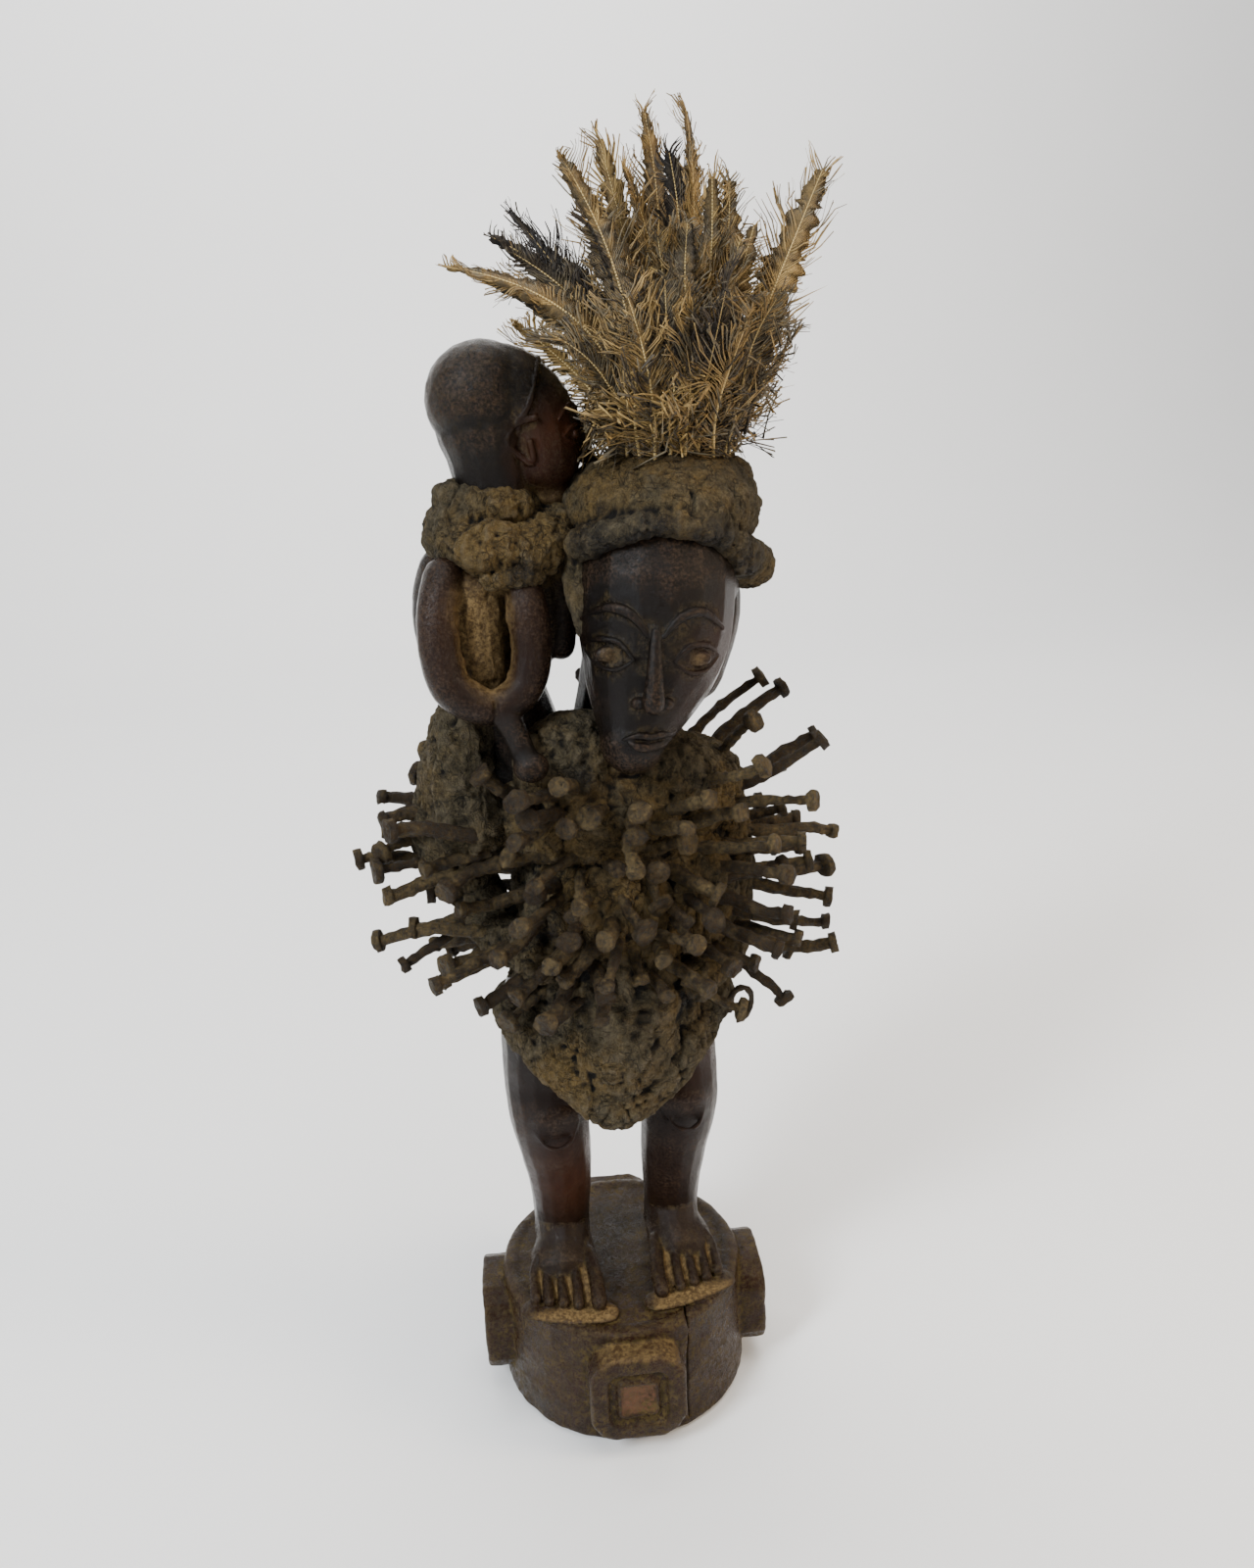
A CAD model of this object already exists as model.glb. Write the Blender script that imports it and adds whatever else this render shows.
"""The looks of a carved power figure: dark polished wood, cracked clay, crusted iron nails and a tuft
of tattered feathers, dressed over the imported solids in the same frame."""

import itertools
import math
import random

import bmesh
import bpy
import numpy as np
from mathutils import Matrix, Quaternion, Vector
from mathutils.bvhtree import BVHTree


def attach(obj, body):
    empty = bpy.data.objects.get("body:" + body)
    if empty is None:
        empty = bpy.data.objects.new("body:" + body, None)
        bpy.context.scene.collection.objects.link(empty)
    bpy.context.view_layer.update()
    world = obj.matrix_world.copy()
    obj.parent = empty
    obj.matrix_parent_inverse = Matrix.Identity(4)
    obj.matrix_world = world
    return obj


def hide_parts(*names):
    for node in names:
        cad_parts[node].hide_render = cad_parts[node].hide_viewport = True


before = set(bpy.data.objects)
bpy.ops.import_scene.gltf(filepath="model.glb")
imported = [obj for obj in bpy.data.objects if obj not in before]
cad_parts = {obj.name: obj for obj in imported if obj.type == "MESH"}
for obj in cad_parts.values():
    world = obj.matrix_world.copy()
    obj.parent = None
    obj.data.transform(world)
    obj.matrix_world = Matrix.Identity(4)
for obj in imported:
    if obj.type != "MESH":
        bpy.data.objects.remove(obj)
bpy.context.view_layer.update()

# Sizes shared with the solids
PLINTH_HEIGHT = 0.0625
PLINTH_RADIUS = 0.061
PLINTH_TOP_RADIUS = 0.0595
PLINTH_EDGE = 0.0025
PANEL_WIDTH = 0.045
PANEL_HEIGHT = 0.046
PANEL_CORNER = 0.0145
PANEL_RELIEF = 0.0095
PANEL_MIDDLE = 0.034
PANEL_FRAME = 0.009
PANEL_STEP = 0.0016
PANEL_TURN = math.radians(-5)
CORNER_FACETS = 3
FIGURE_HEIGHT = 0.442
GRID = FIGURE_HEIGHT / 442
SOLE_DEPTH = 0.004
NAIL_THICKNESS = 0.0058
NAIL_LENGTH = 0.039
NAIL_REACH = 0.111
NAIL_DEPTH = 0.008
NAIL_HEAD = 0.0085
LOOSE_NAILS = 34
BEDDED_NAILS = 26
QUILL_DEPTH = 0.006
FEATHER_WIDTH = 0.018
FEATHER_FAN = math.radians(50)
CLEARANCE = 0.0004
QUILL_FOOT = 394

# Sizes of the looks alone
CARVING_TRIANGLES = 190000
CRUST_TRIANGLES = 175000
NAIL_STEPS = 16
FEATHER_STEPS = 24
TALL_NODES = 17

MM = 0.001
LEFT, RIGHT = -1, 1
SIDEWAYS = Vector((1, 0, 0))
BACKWARD = Vector((0, 1, 0))
UPWARD = Vector((0, 0, 1))
COARSE = 1.0


def spot(x, y, z):
    """A place on the carver's grid, with z counted from the soles."""
    return Vector((x * GRID, y * GRID, level(z)))


def level(z):
    """The height above the floor of a line on the carver's grid."""
    return PLINTH_HEIGHT - SOLE_DEPTH + z * GRID


# Meshes


def add_object(name, data):
    made = bpy.data.objects.new(name, data)
    bpy.context.scene.collection.objects.link(made)
    return made


def as_shaped(made):
    """A plain mesh of the object with its modifiers in effect; the object itself goes."""
    graph = bpy.context.evaluated_depsgraph_get()
    graph.update()
    mesh = bpy.data.meshes.new_from_object(made.evaluated_get(graph))
    bpy.data.objects.remove(made)
    return mesh


def from_bmesh(bm):
    mesh = bpy.data.meshes.new("form")
    bmesh.ops.recalc_face_normals(bm, faces=bm.faces)
    bm.to_mesh(mesh)
    bm.free()
    return mesh


def skin_rings(bm, rings):
    """Closes a stack of rings of points, all with as many points, into one shell."""
    loops = [[bm.verts.new(p) for p in ring] for ring in rings]
    count = len(loops[0])
    for low, high in zip(loops, loops[1:]):
        for k in range(count):
            n = (k + 1) % count
            bm.faces.new((low[k], low[n], high[n], high[k]))
    bm.faces.new(reversed(loops[0]))
    bm.faces.new(loops[-1])


def smooth_course(stations, steps):
    """Catmull-Rom through the stations, each a list of numbers, with `steps` to a span."""
    ends = [stations[0], *stations, stations[-1]]
    course = []
    for i in range(1, len(ends) - 2):
        for k in range(steps):
            t = k / steps
            course.append(
                [
                    b + 0.5 * t * (c - a + t * (2 * a - 5 * b + 4 * c - d + t * (3 * b - a - 3 * c + d)))
                    for a, b, c, d in zip(*ends[i - 1 : i + 3])
                ]
            )
    course.append(list(stations[-1]))
    return course


class Mass:
    """Closed rounded shells that lie in each other, for a remesh to melt into one body."""

    def __init__(self):
        self.bm = bmesh.new()

    def lump(self, centre, radii, turn=None):
        made = bmesh.ops.create_icosphere(self.bm, subdivisions=3, radius=1)
        scale = Matrix.Diagonal((*[r * GRID for r in radii], 1))
        place = Matrix.Translation(centre) @ (turn.to_matrix().to_4x4() if turn else Matrix())
        bmesh.ops.transform(self.bm, matrix=place @ scale, verts=made["verts"])

    def limb(self, places, radii, flat=1.0, across=SIDEWAYS, sides=16, steps=5):
        """A round-ended tube through the places, `flat` times as deep as it is wide."""
        course = smooth_course([[*p, r * GRID] for p, r in zip(places, radii)], steps)
        spots = [Vector(c[:3]) for c in course]
        dome = [(math.sin(a), math.cos(a)) for a in (math.radians(d) for d in (75, 50, 25))]
        rings = []
        for i, here in enumerate(spots):
            along = (spots[min(i + 1, len(spots) - 1)] - spots[max(i - 1, 0)]).normalized()
            wide = (across - across.dot(along) * along).normalized()
            deep = along.cross(wide) * flat
            radius = course[i][3]
            before = [(-forward, share) for forward, share in dome] if i == 0 else []
            after = list(reversed(dome)) if i == len(spots) - 1 else []
            for forward, share in [*before, (0, 1), *after]:
                middle = here + along * radius * forward
                rings.append(
                    [
                        middle + (wide * math.cos(a) + deep * math.sin(a)) * radius * share
                        for a in (math.tau * k / sides for k in range(sides))
                    ]
                )
        skin_rings(self.bm, rings)

    def tree(self):
        return BVHTree.FromBMesh(self.bm)


def remelted(mesh, voxel, easing=1):
    """The mesh remade as one even skin of `voxel` millimetres, eased so many times."""
    made = add_object("form", mesh)
    remesh = made.modifiers.new("melt", "REMESH")
    remesh.mode = "VOXEL"
    remesh.voxel_size = voxel * MM * COARSE
    ease = made.modifiers.new("ease", "SMOOTH")
    ease.iterations = easing
    return as_shaped(made)


def melted(mass, voxel, easing=2):
    """One smooth mesh of a mass whose shells lie in each other."""
    return remelted(from_bmesh(mass.bm), voxel, easing)


def thinned(mesh, triangles):
    """The mesh with its flattest faces merged, down to about so many triangles."""
    now = sum(len(face.vertices) - 2 for face in mesh.polygons)
    if now <= triangles:
        return mesh
    made = add_object("thinning", mesh)
    thin = made.modifiers.new("thin", "DECIMATE")
    thin.ratio = triangles / now
    bm = bmesh.new()
    bm.from_mesh(as_shaped(made))
    pinched = [edge for edge in bm.edges if len(edge.link_faces) != 2]
    bmesh.ops.collapse(bm, edges=pinched)
    flakes = [v for v in bm.verts if len({frozenset(face.verts) for face in v.link_faces}) <= 1]
    bmesh.ops.delete(bm, geom=flakes, context="VERTS")
    return from_bmesh(bm)


def joined(first, *others, operation="UNION"):
    """Solid union or difference of closed meshes."""
    made = add_object("joined", first)
    tools = [add_object("tool", mesh) for mesh in others]
    for tool in tools:
        cut = made.modifiers.new("join", "BOOLEAN")
        cut.operation = operation
        cut.object = tool
        cut.solver = "MANIFOLD"
    mesh = as_shaped(made)
    for tool in tools:
        bpy.data.objects.remove(tool)
    return mesh


# Surfaces as arrays of points


def places_of(mesh):
    co = np.empty(len(mesh.vertices) * 3)
    mesh.vertices.foreach_get("co", co)
    return co.reshape(-1, 3)


def move_to(mesh, co):
    mesh.vertices.foreach_set("co", co.ravel())
    mesh.update()


def normals_of(mesh):
    no = np.empty(len(mesh.vertices) * 3, np.float32)
    mesh.vertex_normals.foreach_get("vector", no)
    return no.reshape(-1, 3).astype(float)


def edges_of(mesh):
    ends = np.empty(len(mesh.edges) * 2, np.int32)
    mesh.edges.foreach_get("vertices", ends)
    return ends.reshape(-1, 2)


def eased(values, ends, rounds):
    """Values or places of the vertices, averaged with their neighbours so many times."""
    count = len(values)
    share = 1 / (1 + np.bincount(ends.ravel(), minlength=count))
    flat = values.reshape(count, -1).copy()
    for _ in range(rounds):
        for k in range(flat.shape[1]):
            total = np.bincount(ends[:, 0], flat[ends[:, 1], k], count)
            total += np.bincount(ends[:, 1], flat[ends[:, 0], k], count)
            flat[:, k] = (flat[:, k] + total) * share
    return flat.reshape(values.shape)


def store(mesh, name, values):
    mesh.attributes.new(name, "FLOAT", "POINT").data.foreach_set("value", np.asarray(values, np.float32))


def store_hollows(mesh, rounds, depth):
    """Stores how deep each place lies in a hollow, 0.5 on the flat, 1 at `depth` millimetres down."""
    co, ends = places_of(mesh), edges_of(mesh)
    down = ((eased(co, ends, rounds) - co) * normals_of(mesh)).sum(1)
    store(mesh, "hollow", np.clip(0.5 + eased(down, ends, 1) / (2 * depth * MM), 0, 1))


def lattice(cells, seed):
    """An even random number from 0 to 1 for each whole cell of space."""
    mixed = cells[:, 0] * 374761393 + cells[:, 1] * 668265263 + cells[:, 2] * 2246822519 + seed * 3266489917
    mixed = ((mixed & 0xFFFFFFFF) ^ ((mixed & 0xFFFFFFFF) >> 13)) * 1274126177 & 0xFFFFFFFF
    return (mixed ^ (mixed >> 16) & 0xFFFF) % 65536 / 65535


def rolling(co, size, seed=0, octaves=3):
    """Rolling noise from about -1 to 1, with lumps about `size` millimetres wide."""
    total = np.zeros(len(co))
    for octave in range(octaves):
        p = co / (size * MM) * 2**octave + 17.3
        cell = np.floor(p).astype(np.int64)
        part = p - cell
        part = part * part * (3 - 2 * part)
        here = np.zeros(len(co))
        for corner in itertools.product((0, 1), repeat=3):
            weight = np.where(corner, part, 1 - part).prod(1)
            here += weight * lattice(cell + corner, seed + octave)
        total += (here * 2 - 1) * 0.55**octave
    return total / 1.4


def faded(distance, width):
    """0 up to a border, rising to 1 at `width` millimetres past it."""
    return np.clip(distance / (width * MM), 0, 1)


def within(co, centre, radius, edge=0.35):
    """1 near a place, falling to 0 at `radius` grid parts from it."""
    away = np.linalg.norm(co - np.array(centre), axis=1) / (radius * GRID)
    return np.clip((1 - away) / edge, 0, 1)


def line_distance(co, course):
    """The distance in millimetres from each place to a line through the points of a course."""
    course = np.array([list(p) for p in course])
    best = np.full(len(co), 1.0)
    low, high = course.min(0) - 0.006, course.max(0) + 0.006
    near = ((co > low) & (co < high)).all(1)
    some = co[near]
    closest = np.full(len(some), 1.0)
    for a, b in zip(course, course[1:]):
        along = b - a
        t = np.clip(((some - a) @ along) / (along @ along), 0, 1)
        closest = np.minimum(closest, np.linalg.norm(some - a - t[:, None] * along, axis=1))
    best[near] = closest
    return best / MM


# Node trees


class Wiring:
    """Adds nodes to a tree: values are set, and sockets are linked, by input name or number."""

    def __init__(self, tree):
        self.tree = tree

    def add(self, kind, values=None, out=0, **settings):
        node = self.tree.nodes.new(kind)
        for key, value in settings.items():
            setattr(node, key, value)
        for key, value in (values or {}).items():
            if isinstance(value, bpy.types.NodeSocket):
                self.tree.links.new(value, node.inputs[key])
            else:
                node.inputs[key].default_value = value
        return node if out is None else node.outputs[out]

    def math(self, operation, *values, clamp=False):
        return self.add("ShaderNodeMath", dict(enumerate(values)), operation=operation, use_clamp=clamp)

    def chain(self, operation, first, *others, clamp=False):
        """The values joined one after the other, with the last result held from 0 to 1 if asked."""
        for left, value in zip(range(len(others), 0, -1), others):
            first = self.math(operation, first, value, clamp=clamp and left == 1)
        return first

    def times(self, *values, clamp=False):
        return self.chain("MULTIPLY", *values, clamp=clamp)

    def plus(self, *values, clamp=False):
        return self.chain("ADD", *values, clamp=clamp)

    def vector(self, operation, *values):
        return self.add("ShaderNodeVectorMath", dict(enumerate(values)), operation=operation)

    def stretch(self, value, low, high, to_low=0.0, to_high=1.0):
        inputs = {"Value": value, "From Min": low, "From Max": high, "To Min": to_low, "To Max": to_high}
        return self.add("ShaderNodeMapRange", inputs)


class Finish(Wiring):
    """A material's nodes on Object coordinates."""

    def __init__(self, name, **constants):
        self.material = bpy.data.materials.new(name)
        self.material.use_nodes = True
        super().__init__(self.material.node_tree)
        self.shader = self.tree.nodes["Principled BSDF"]
        for key, value in constants.items():
            self.shader.inputs[key.replace("_", " ")].default_value = value
        self.where = self.add("ShaderNodeTexCoord", out="Object")

    def noise(self, size, detail=4.0, roughness=0.6, stretch=(1, 1, 1), distortion=0.0):
        """Noise with lumps of `size` millimetres."""
        place = self.add("ShaderNodeMapping", {"Vector": self.where, "Scale": stretch})
        inputs = {
            "Vector": place,
            "Scale": 1 / (size * MM),
            "Detail": float(detail),
            "Roughness": roughness,
            "Distortion": distortion,
        }
        return self.add("ShaderNodeTexNoise", inputs)

    def crackle(self, size, bent=0.9):
        """1 in a net of fine lines with meshes of `size` millimetres, 0 between them."""
        waves = {"Vector": self.where, "Scale": 0.8 / (size * MM)}
        drift = self.add("ShaderNodeTexNoise", waves, out="Color")
        place = self.vector("MULTIPLY_ADD", drift, (bent * size * MM * 2,) * 3, self.where)
        inputs = {"Vector": place, "Scale": 1 / (size * MM)}
        edge = self.add("ShaderNodeTexVoronoi", inputs, feature="DISTANCE_TO_EDGE")
        return self.stretch(edge, 0.06, 0.0)

    def attribute(self, name):
        return self.add("ShaderNodeAttribute", out="Fac", attribute_name=name)

    def blend(self, share, first, second):
        first = (*first, 1) if isinstance(first, tuple) else first
        second = (*second, 1) if isinstance(second, tuple) else second
        return self.add("ShaderNodeMix", {0: share, 6: first, 7: second}, out=2, data_type="RGBA")

    def finish(self, colour, roughness, *reliefs):
        """Connects colour and roughness, and the reliefs as (height, millimetres deep) pairs."""
        self.tree.links.new(colour, self.shader.inputs["Base Color"])
        self.tree.links.new(roughness, self.shader.inputs["Roughness"])
        normal = None
        for height, depth in reliefs:
            inputs = {"Height": height, "Distance": depth * MM, "Strength": 1.0}
            if normal:
                inputs["Normal"] = normal
            normal = self.add("ShaderNodeBump", inputs)
        if normal:
            self.tree.links.new(normal, self.shader.inputs["Normal"])
        return self.material


def wood_finish():
    paint = Finish("oiled dark wood", Specular_IOR_Level=0.12)
    hollow = paint.attribute("hollow")
    dirt = paint.attribute("dirt")
    broad = paint.noise(34, 3)
    grain = paint.noise(2.6, 5, 0.7, (1, 1, 0.10), 0.4)
    fine = paint.noise(1.3, 5, 0.75)
    dark = paint.blend(broad, (0.0022, 0.0022, 0.0025), (0.0080, 0.0052, 0.0036))
    red = paint.blend(grain, (0.017, 0.0055, 0.0025), (0.052, 0.0165, 0.0062))
    uneven = paint.stretch(broad, 0.3, 0.6, 0.5, 1)
    warmth = paint.times(paint.attribute("warm"), uneven, clamp=True)
    colour = paint.blend(warmth, dark, red)
    proud = paint.stretch(hollow, 0.36, 0.15)
    rubbed = paint.times(proud, paint.stretch(fine, 0.45, 0.65), clamp=True)
    colour = paint.blend(rubbed, colour, (0.040, 0.024, 0.014))
    inlaid = paint.blend(fine, (0.040, 0.017, 0.008), (0.120, 0.052, 0.024))
    colour = paint.blend(paint.attribute("inlay"), colour, inlaid)
    patchy = paint.stretch(paint.noise(9, 8, 0.8), 0.40, 0.62)
    speckle = paint.stretch(paint.noise(2.0, 5, 0.85), 0.44, 0.55)
    film = paint.times(dirt, paint.math("MULTIPLY_ADD", patchy, 0.60, 0.40))
    deep = paint.stretch(hollow, 0.54, 0.74)
    lodged = paint.times(deep, paint.math("MULTIPLY_ADD", dirt, 0.55, 0.45))
    grime = paint.times(paint.plus(film, lodged), speckle, clamp=True)
    dust = paint.stretch(paint.noise(6, 7, 0.8), 0.38, 0.62)
    dust = paint.blend(dust, (0.010, 0.0068, 0.0024), (0.074, 0.051, 0.017))
    colour = paint.blend(grime, colour, dust)
    worked = paint.math("MULTIPLY_ADD", paint.stretch(paint.noise(2.4, 7, 0.8), 0.36, 0.58), 0.60, 0.42)
    ochre = paint.times(paint.attribute("ochre"), worked, clamp=True)
    rubbed_in = paint.blend(speckle, (0.062, 0.038, 0.015), (0.170, 0.112, 0.048))
    colour = paint.blend(ochre, colour, rubbed_in)
    rough = paint.stretch(broad, 0.3, 0.7, 0.08, 0.20)
    rough = paint.plus(rough, paint.times(paint.plus(grime, ochre), 0.6), clamp=True)
    return paint.finish(colour, rough, (grain, 0.035), (speckle, 0.05), (patchy, 0.10))


def clay_finish():
    paint = Finish("dried clay and resin crust", Specular_IOR_Level=0.2)
    hollow = paint.attribute("hollow")
    resin = paint.attribute("resin")
    broad = paint.noise(26, 5, 0.65)
    crumb = paint.stretch(paint.noise(3.4, 8, 0.75, distortion=0.9), 0.34, 0.66)
    grit = paint.stretch(paint.noise(0.9, 5, 0.8), 0.35, 0.65)
    straw = paint.noise(2.2, 5, 0.7, (1, 1, 0.25), 3.0)
    cracks = paint.math("MAXIMUM", paint.crackle(7), paint.times(paint.crackle(3.2), 0.6))
    cracks = paint.times(cracks, paint.stretch(paint.noise(9, 4), 0.42, 0.56), clamp=True)
    grain = paint.math("MULTIPLY_ADD", crumb, 0.65, paint.times(grit, 0.35))
    grey = paint.blend(grain, (0.007, 0.0055, 0.0035), (0.104, 0.084, 0.048))
    earth = paint.blend(grain, (0.012, 0.0075, 0.003), (0.182, 0.120, 0.043))
    uneven = paint.stretch(broad, 0.38, 0.62, -0.4, 0.5)
    share = paint.plus(paint.attribute("ochre"), uneven, clamp=True)
    colour = paint.blend(share, grey, earth)
    colour = paint.blend(paint.stretch(straw, 0.54, 0.64, 0, 0.6), colour, (0.140, 0.106, 0.053))
    soot = paint.stretch(paint.noise(11, 9, 0.8), 0.56, 0.66, 0, 0.6)
    colour = paint.blend(soot, colour, (0.008, 0.0065, 0.005))
    colour = paint.blend(paint.stretch(hollow, 0.40, 0.20, 0, 0.35), colour, (0.150, 0.122, 0.080))
    colour = paint.blend(paint.stretch(hollow, 0.53, 0.74), colour, (0.005, 0.004, 0.003))
    colour = paint.blend(paint.times(cracks, 0.7), colour, (0.006, 0.005, 0.0035))
    resin = paint.times(resin, paint.stretch(grain, 0.75, 0.35, 0.45, 1.0), clamp=True)
    colour = paint.blend(resin, colour, (0.0055, 0.0042, 0.0034))
    rough = paint.math("SUBTRACT", 0.92, paint.times(resin, 0.55))
    return paint.finish(colour, rough, (grain, 0.9), (straw, 0.5), (paint.math("SUBTRACT", 1.0, cracks), 0.6))


def iron_finish():
    paint = Finish("crusted forged iron", Specular_IOR_Level=0.25)
    hollow = paint.attribute("hollow")
    tone = paint.attribute("tone")
    crumb = paint.stretch(paint.noise(2.2, 8, 0.8), 0.36, 0.64)
    grit = paint.noise(0.8, 4, 0.8)
    rust = paint.blend(crumb, (0.003, 0.0022, 0.0015), (0.058, 0.036, 0.016))
    earth = paint.blend(crumb, (0.008, 0.0058, 0.003), (0.200, 0.142, 0.062))
    uneven = paint.stretch(paint.noise(7, 5, 0.7), 0.36, 0.64, -0.5, 0.5)
    share = paint.plus(tone, uneven, clamp=True)
    colour = paint.blend(share, rust, earth)
    colour = paint.blend(paint.stretch(hollow, 0.54, 0.76), colour, (0.006, 0.0045, 0.003))
    return paint.finish(colour, paint.stretch(crumb, 0.3, 0.7, 0.5, 0.9), (crumb, 0.8), (grit, 0.5))


def feather_finish():
    paint = Finish("old feather", Specular_IOR_Level=0.35)
    shade = paint.attribute("shade")
    quill = paint.attribute("quill")
    streak = paint.noise(3.5, 5, 0.7)
    outward = paint.math("ABSOLUTE", paint.attribute("fin"))
    slant = paint.math("MULTIPLY_ADD", outward, -110.0, paint.attribute("strand"))
    strand = paint.math("MULTIPLY_ADD", paint.math("SINE", slant), 0.5, 0.5)
    patch = paint.stretch(paint.noise(22, 4, 0.6), 0.35, 0.65, -0.20, 0.12)
    streaked = paint.stretch(streak, 0.3, 0.7, -0.16, 0.16)
    stranded = paint.stretch(strand, 0, 1, -0.10, 0.12)
    tone = paint.plus(shade, patch, streaked, stranded, clamp=True)
    ramp = paint.add("ShaderNodeValToRGB", {"Fac": tone}, out=None)
    stops = ramp.color_ramp.elements
    stops[0].color = (0.008, 0.006, 0.005, 1)
    stops[1].color = (0.400, 0.268, 0.096, 1)
    middle = (
        (0.20, (0.020, 0.014, 0.009, 1)),
        (0.36, (0.056, 0.043, 0.027, 1)),
        (0.50, (0.118, 0.096, 0.056, 1)),
        (0.64, (0.150, 0.094, 0.033, 1)),
        (0.82, (0.270, 0.180, 0.066, 1)),
    )
    for place, colour in middle:
        stops.new(place).color = colour
    colour = paint.blend(quill, ramp.outputs[0], (0.480, 0.350, 0.150))
    return paint.finish(colour, paint.stretch(streak, 0, 1, 0.5, 0.75), (streak, 0.2), (strand, 0.35))


# The carving


def plinth_form():
    """The drum with a raised rim line round its top and four raised panels on its side."""
    bm = bmesh.new()
    edge = PLINTH_EDGE
    top = PLINTH_HEIGHT
    profile = [
        (PLINTH_RADIUS - edge, 0),
        (PLINTH_RADIUS, edge),
        (PLINTH_RADIUS, top / 2),
        (PLINTH_TOP_RADIUS, top - edge),
        (PLINTH_TOP_RADIUS - edge / 2, top - edge / 4),
        (PLINTH_TOP_RADIUS - edge * 1.6, top),
        (PLINTH_TOP_RADIUS - edge * 2.4, top - 0.3 * MM),
        (PLINTH_TOP_RADIUS - edge * 3.0, top - 1.0 * MM),
        (PLINTH_TOP_RADIUS - edge * 4.5, top - 0.9 * MM),
    ]
    turns = [math.tau * k / 96 for k in range(96)]
    skin_rings(bm, [[Vector((r * math.cos(a), r * math.sin(a), z)) for a in turns] for r, z in profile])
    return from_bmesh(bm)


def panel_outline(shrink):
    """The panel's rounded rectangle, drawn in by `shrink`, as (across, height) pairs."""
    corner = max(PANEL_CORNER - shrink, PANEL_CORNER / 4)
    across = PANEL_WIDTH / 2 - shrink - corner
    upright = PANEL_HEIGHT / 2 - shrink - corner
    corner /= math.cos(math.pi / 4 / CORNER_FACETS)
    points = []
    for quarter, (sx, sz) in enumerate(((1, 1), (-1, 1), (-1, -1), (1, -1))):
        for step in range(CORNER_FACETS):
            a = math.pi / 2 * (quarter + (step + 0.5) / CORNER_FACETS)
            points.append((sx * across + corner * math.cos(a), sz * upright + corner * math.sin(a)))
    return points


def panel_form(quarter):
    """A raised panel with a frame, a sunk ground and a boss, from its root in the drum outwards."""
    face = PLINTH_RADIUS + PANEL_RELIEF
    ground = face - PANEL_STEP * 1.3
    stations = [
        (PLINTH_RADIUS * 0.75, 0),
        (face - PANEL_STEP, 0),
        (face - PANEL_STEP * 0.3, PANEL_STEP * 0.3),
        (face, PANEL_STEP),
        (face, PANEL_FRAME - PANEL_STEP / 2),
        (ground, PANEL_FRAME),
        (ground, PANEL_FRAME + PANEL_STEP * 2),
        (face, PANEL_FRAME + PANEL_STEP * 2.6),
        (face, PANEL_FRAME + PANEL_STEP * 3.0),
        (face - PANEL_STEP * 0.4, PANEL_FRAME + PANEL_STEP * 3.4),
    ]
    turn = Matrix.Rotation(PANEL_TURN + quarter * math.pi / 2, 3, "Z")
    bm = bmesh.new()
    rings = [
        [turn @ Vector((x, -out, PANEL_MIDDLE + z)) for x, z in panel_outline(shrink)]
        for out, shrink in stations
    ]
    skin_rings(bm, rings)
    return from_bmesh(bm)


def leg(mass, side):
    """Thigh, knee, shank and calf."""
    course = [(27, 2, 147), (31.5, 0, 112), (31.5, -6, 92), (28.5, -2, 60), (28, 4, 32), (28, 8, 14)]
    mass.limb([spot(side * x, y, z) for x, y, z in course], [24, 20.5, 19, 16, 14, 14])
    mass.lump(spot(side * 31, -19, 98), (12.5, 8, 9))
    mass.lump(spot(side * 29, 9, 74), (13, 11, 24))


def kneecap_ridge(mass, side):
    course = [(20, -20, 96), (26, -27, 88), (36, -27, 88), (42, -19, 96)]
    mass.limb([spot(side * x, y, z) for x, y, z in course], [1.2, 2.1, 2.1, 1.2], sides=10)


class Foot:
    """A bare foot on its clay pad: places are (ahead, inwards, up) from the heel."""

    def __init__(self, side):
        turn = math.radians(4 if side == LEFT else -2)
        self.heel = spot(side * 28, 10, 4)
        self.ahead = Vector((side * math.sin(turn), -math.cos(turn), 0)) * GRID
        self.inward = Vector((-side * math.cos(turn), -math.sin(turn), 0)) * GRID

    def place(self, forward, inside, height):
        return self.heel + self.ahead * forward + self.inward * inside + UPWARD * GRID * height

    def block(self, mass):
        sole = [self.place(0, 0, 8), self.place(13, 0, 12), self.place(21, -1, 9)]
        mass.limb(sole, [12.5, 14.5, 16.5], flat=0.74)
        mass.limb([self.place(4, 0, 26), self.place(14, 0, 15), self.place(24, 0, 10)], [13, 13, 11])

    def toes(self, mass):
        """Long toes with open channels between them, and the pad that they rest on."""
        for toe, inside in enumerate((13.5, 4, -3, -9.8, -16)):
            tip = 54 - 2.4 * toe
            width = 3.9 if toe == 0 else 2.9
            course = [(24, inside * 0.8, 13), (tip - 15, inside, 8.5), (tip - width, inside, width + 0.6)]
            mass.limb([self.place(*p) for p in course], [width, width - 0.3, width], sides=10, steps=3)
        pad = [self.place(52, 16, 0), self.place(50, 0, 0), self.place(44, -17, 0)]
        mass.limb(pad, [7, 7, 7], flat=0.3, across=self.ahead, sides=12, steps=3)


def trunk(mass):
    """The plain trunk under the clay, with the block of the shoulders and the neck."""
    mass.limb([spot(0, 2, 138), spot(0, 0, 192), spot(0, 0, 250)], [33, 25, 26])
    mass.limb([spot(-44, 1, 268), spot(0, 0, 262), spot(34, 0, 250)], [16, 21, 14])
    mass.limb([spot(6, 0, 256), spot(18, 0, 296), spot(28, 2, 330)], [22, 24, 28])


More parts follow.
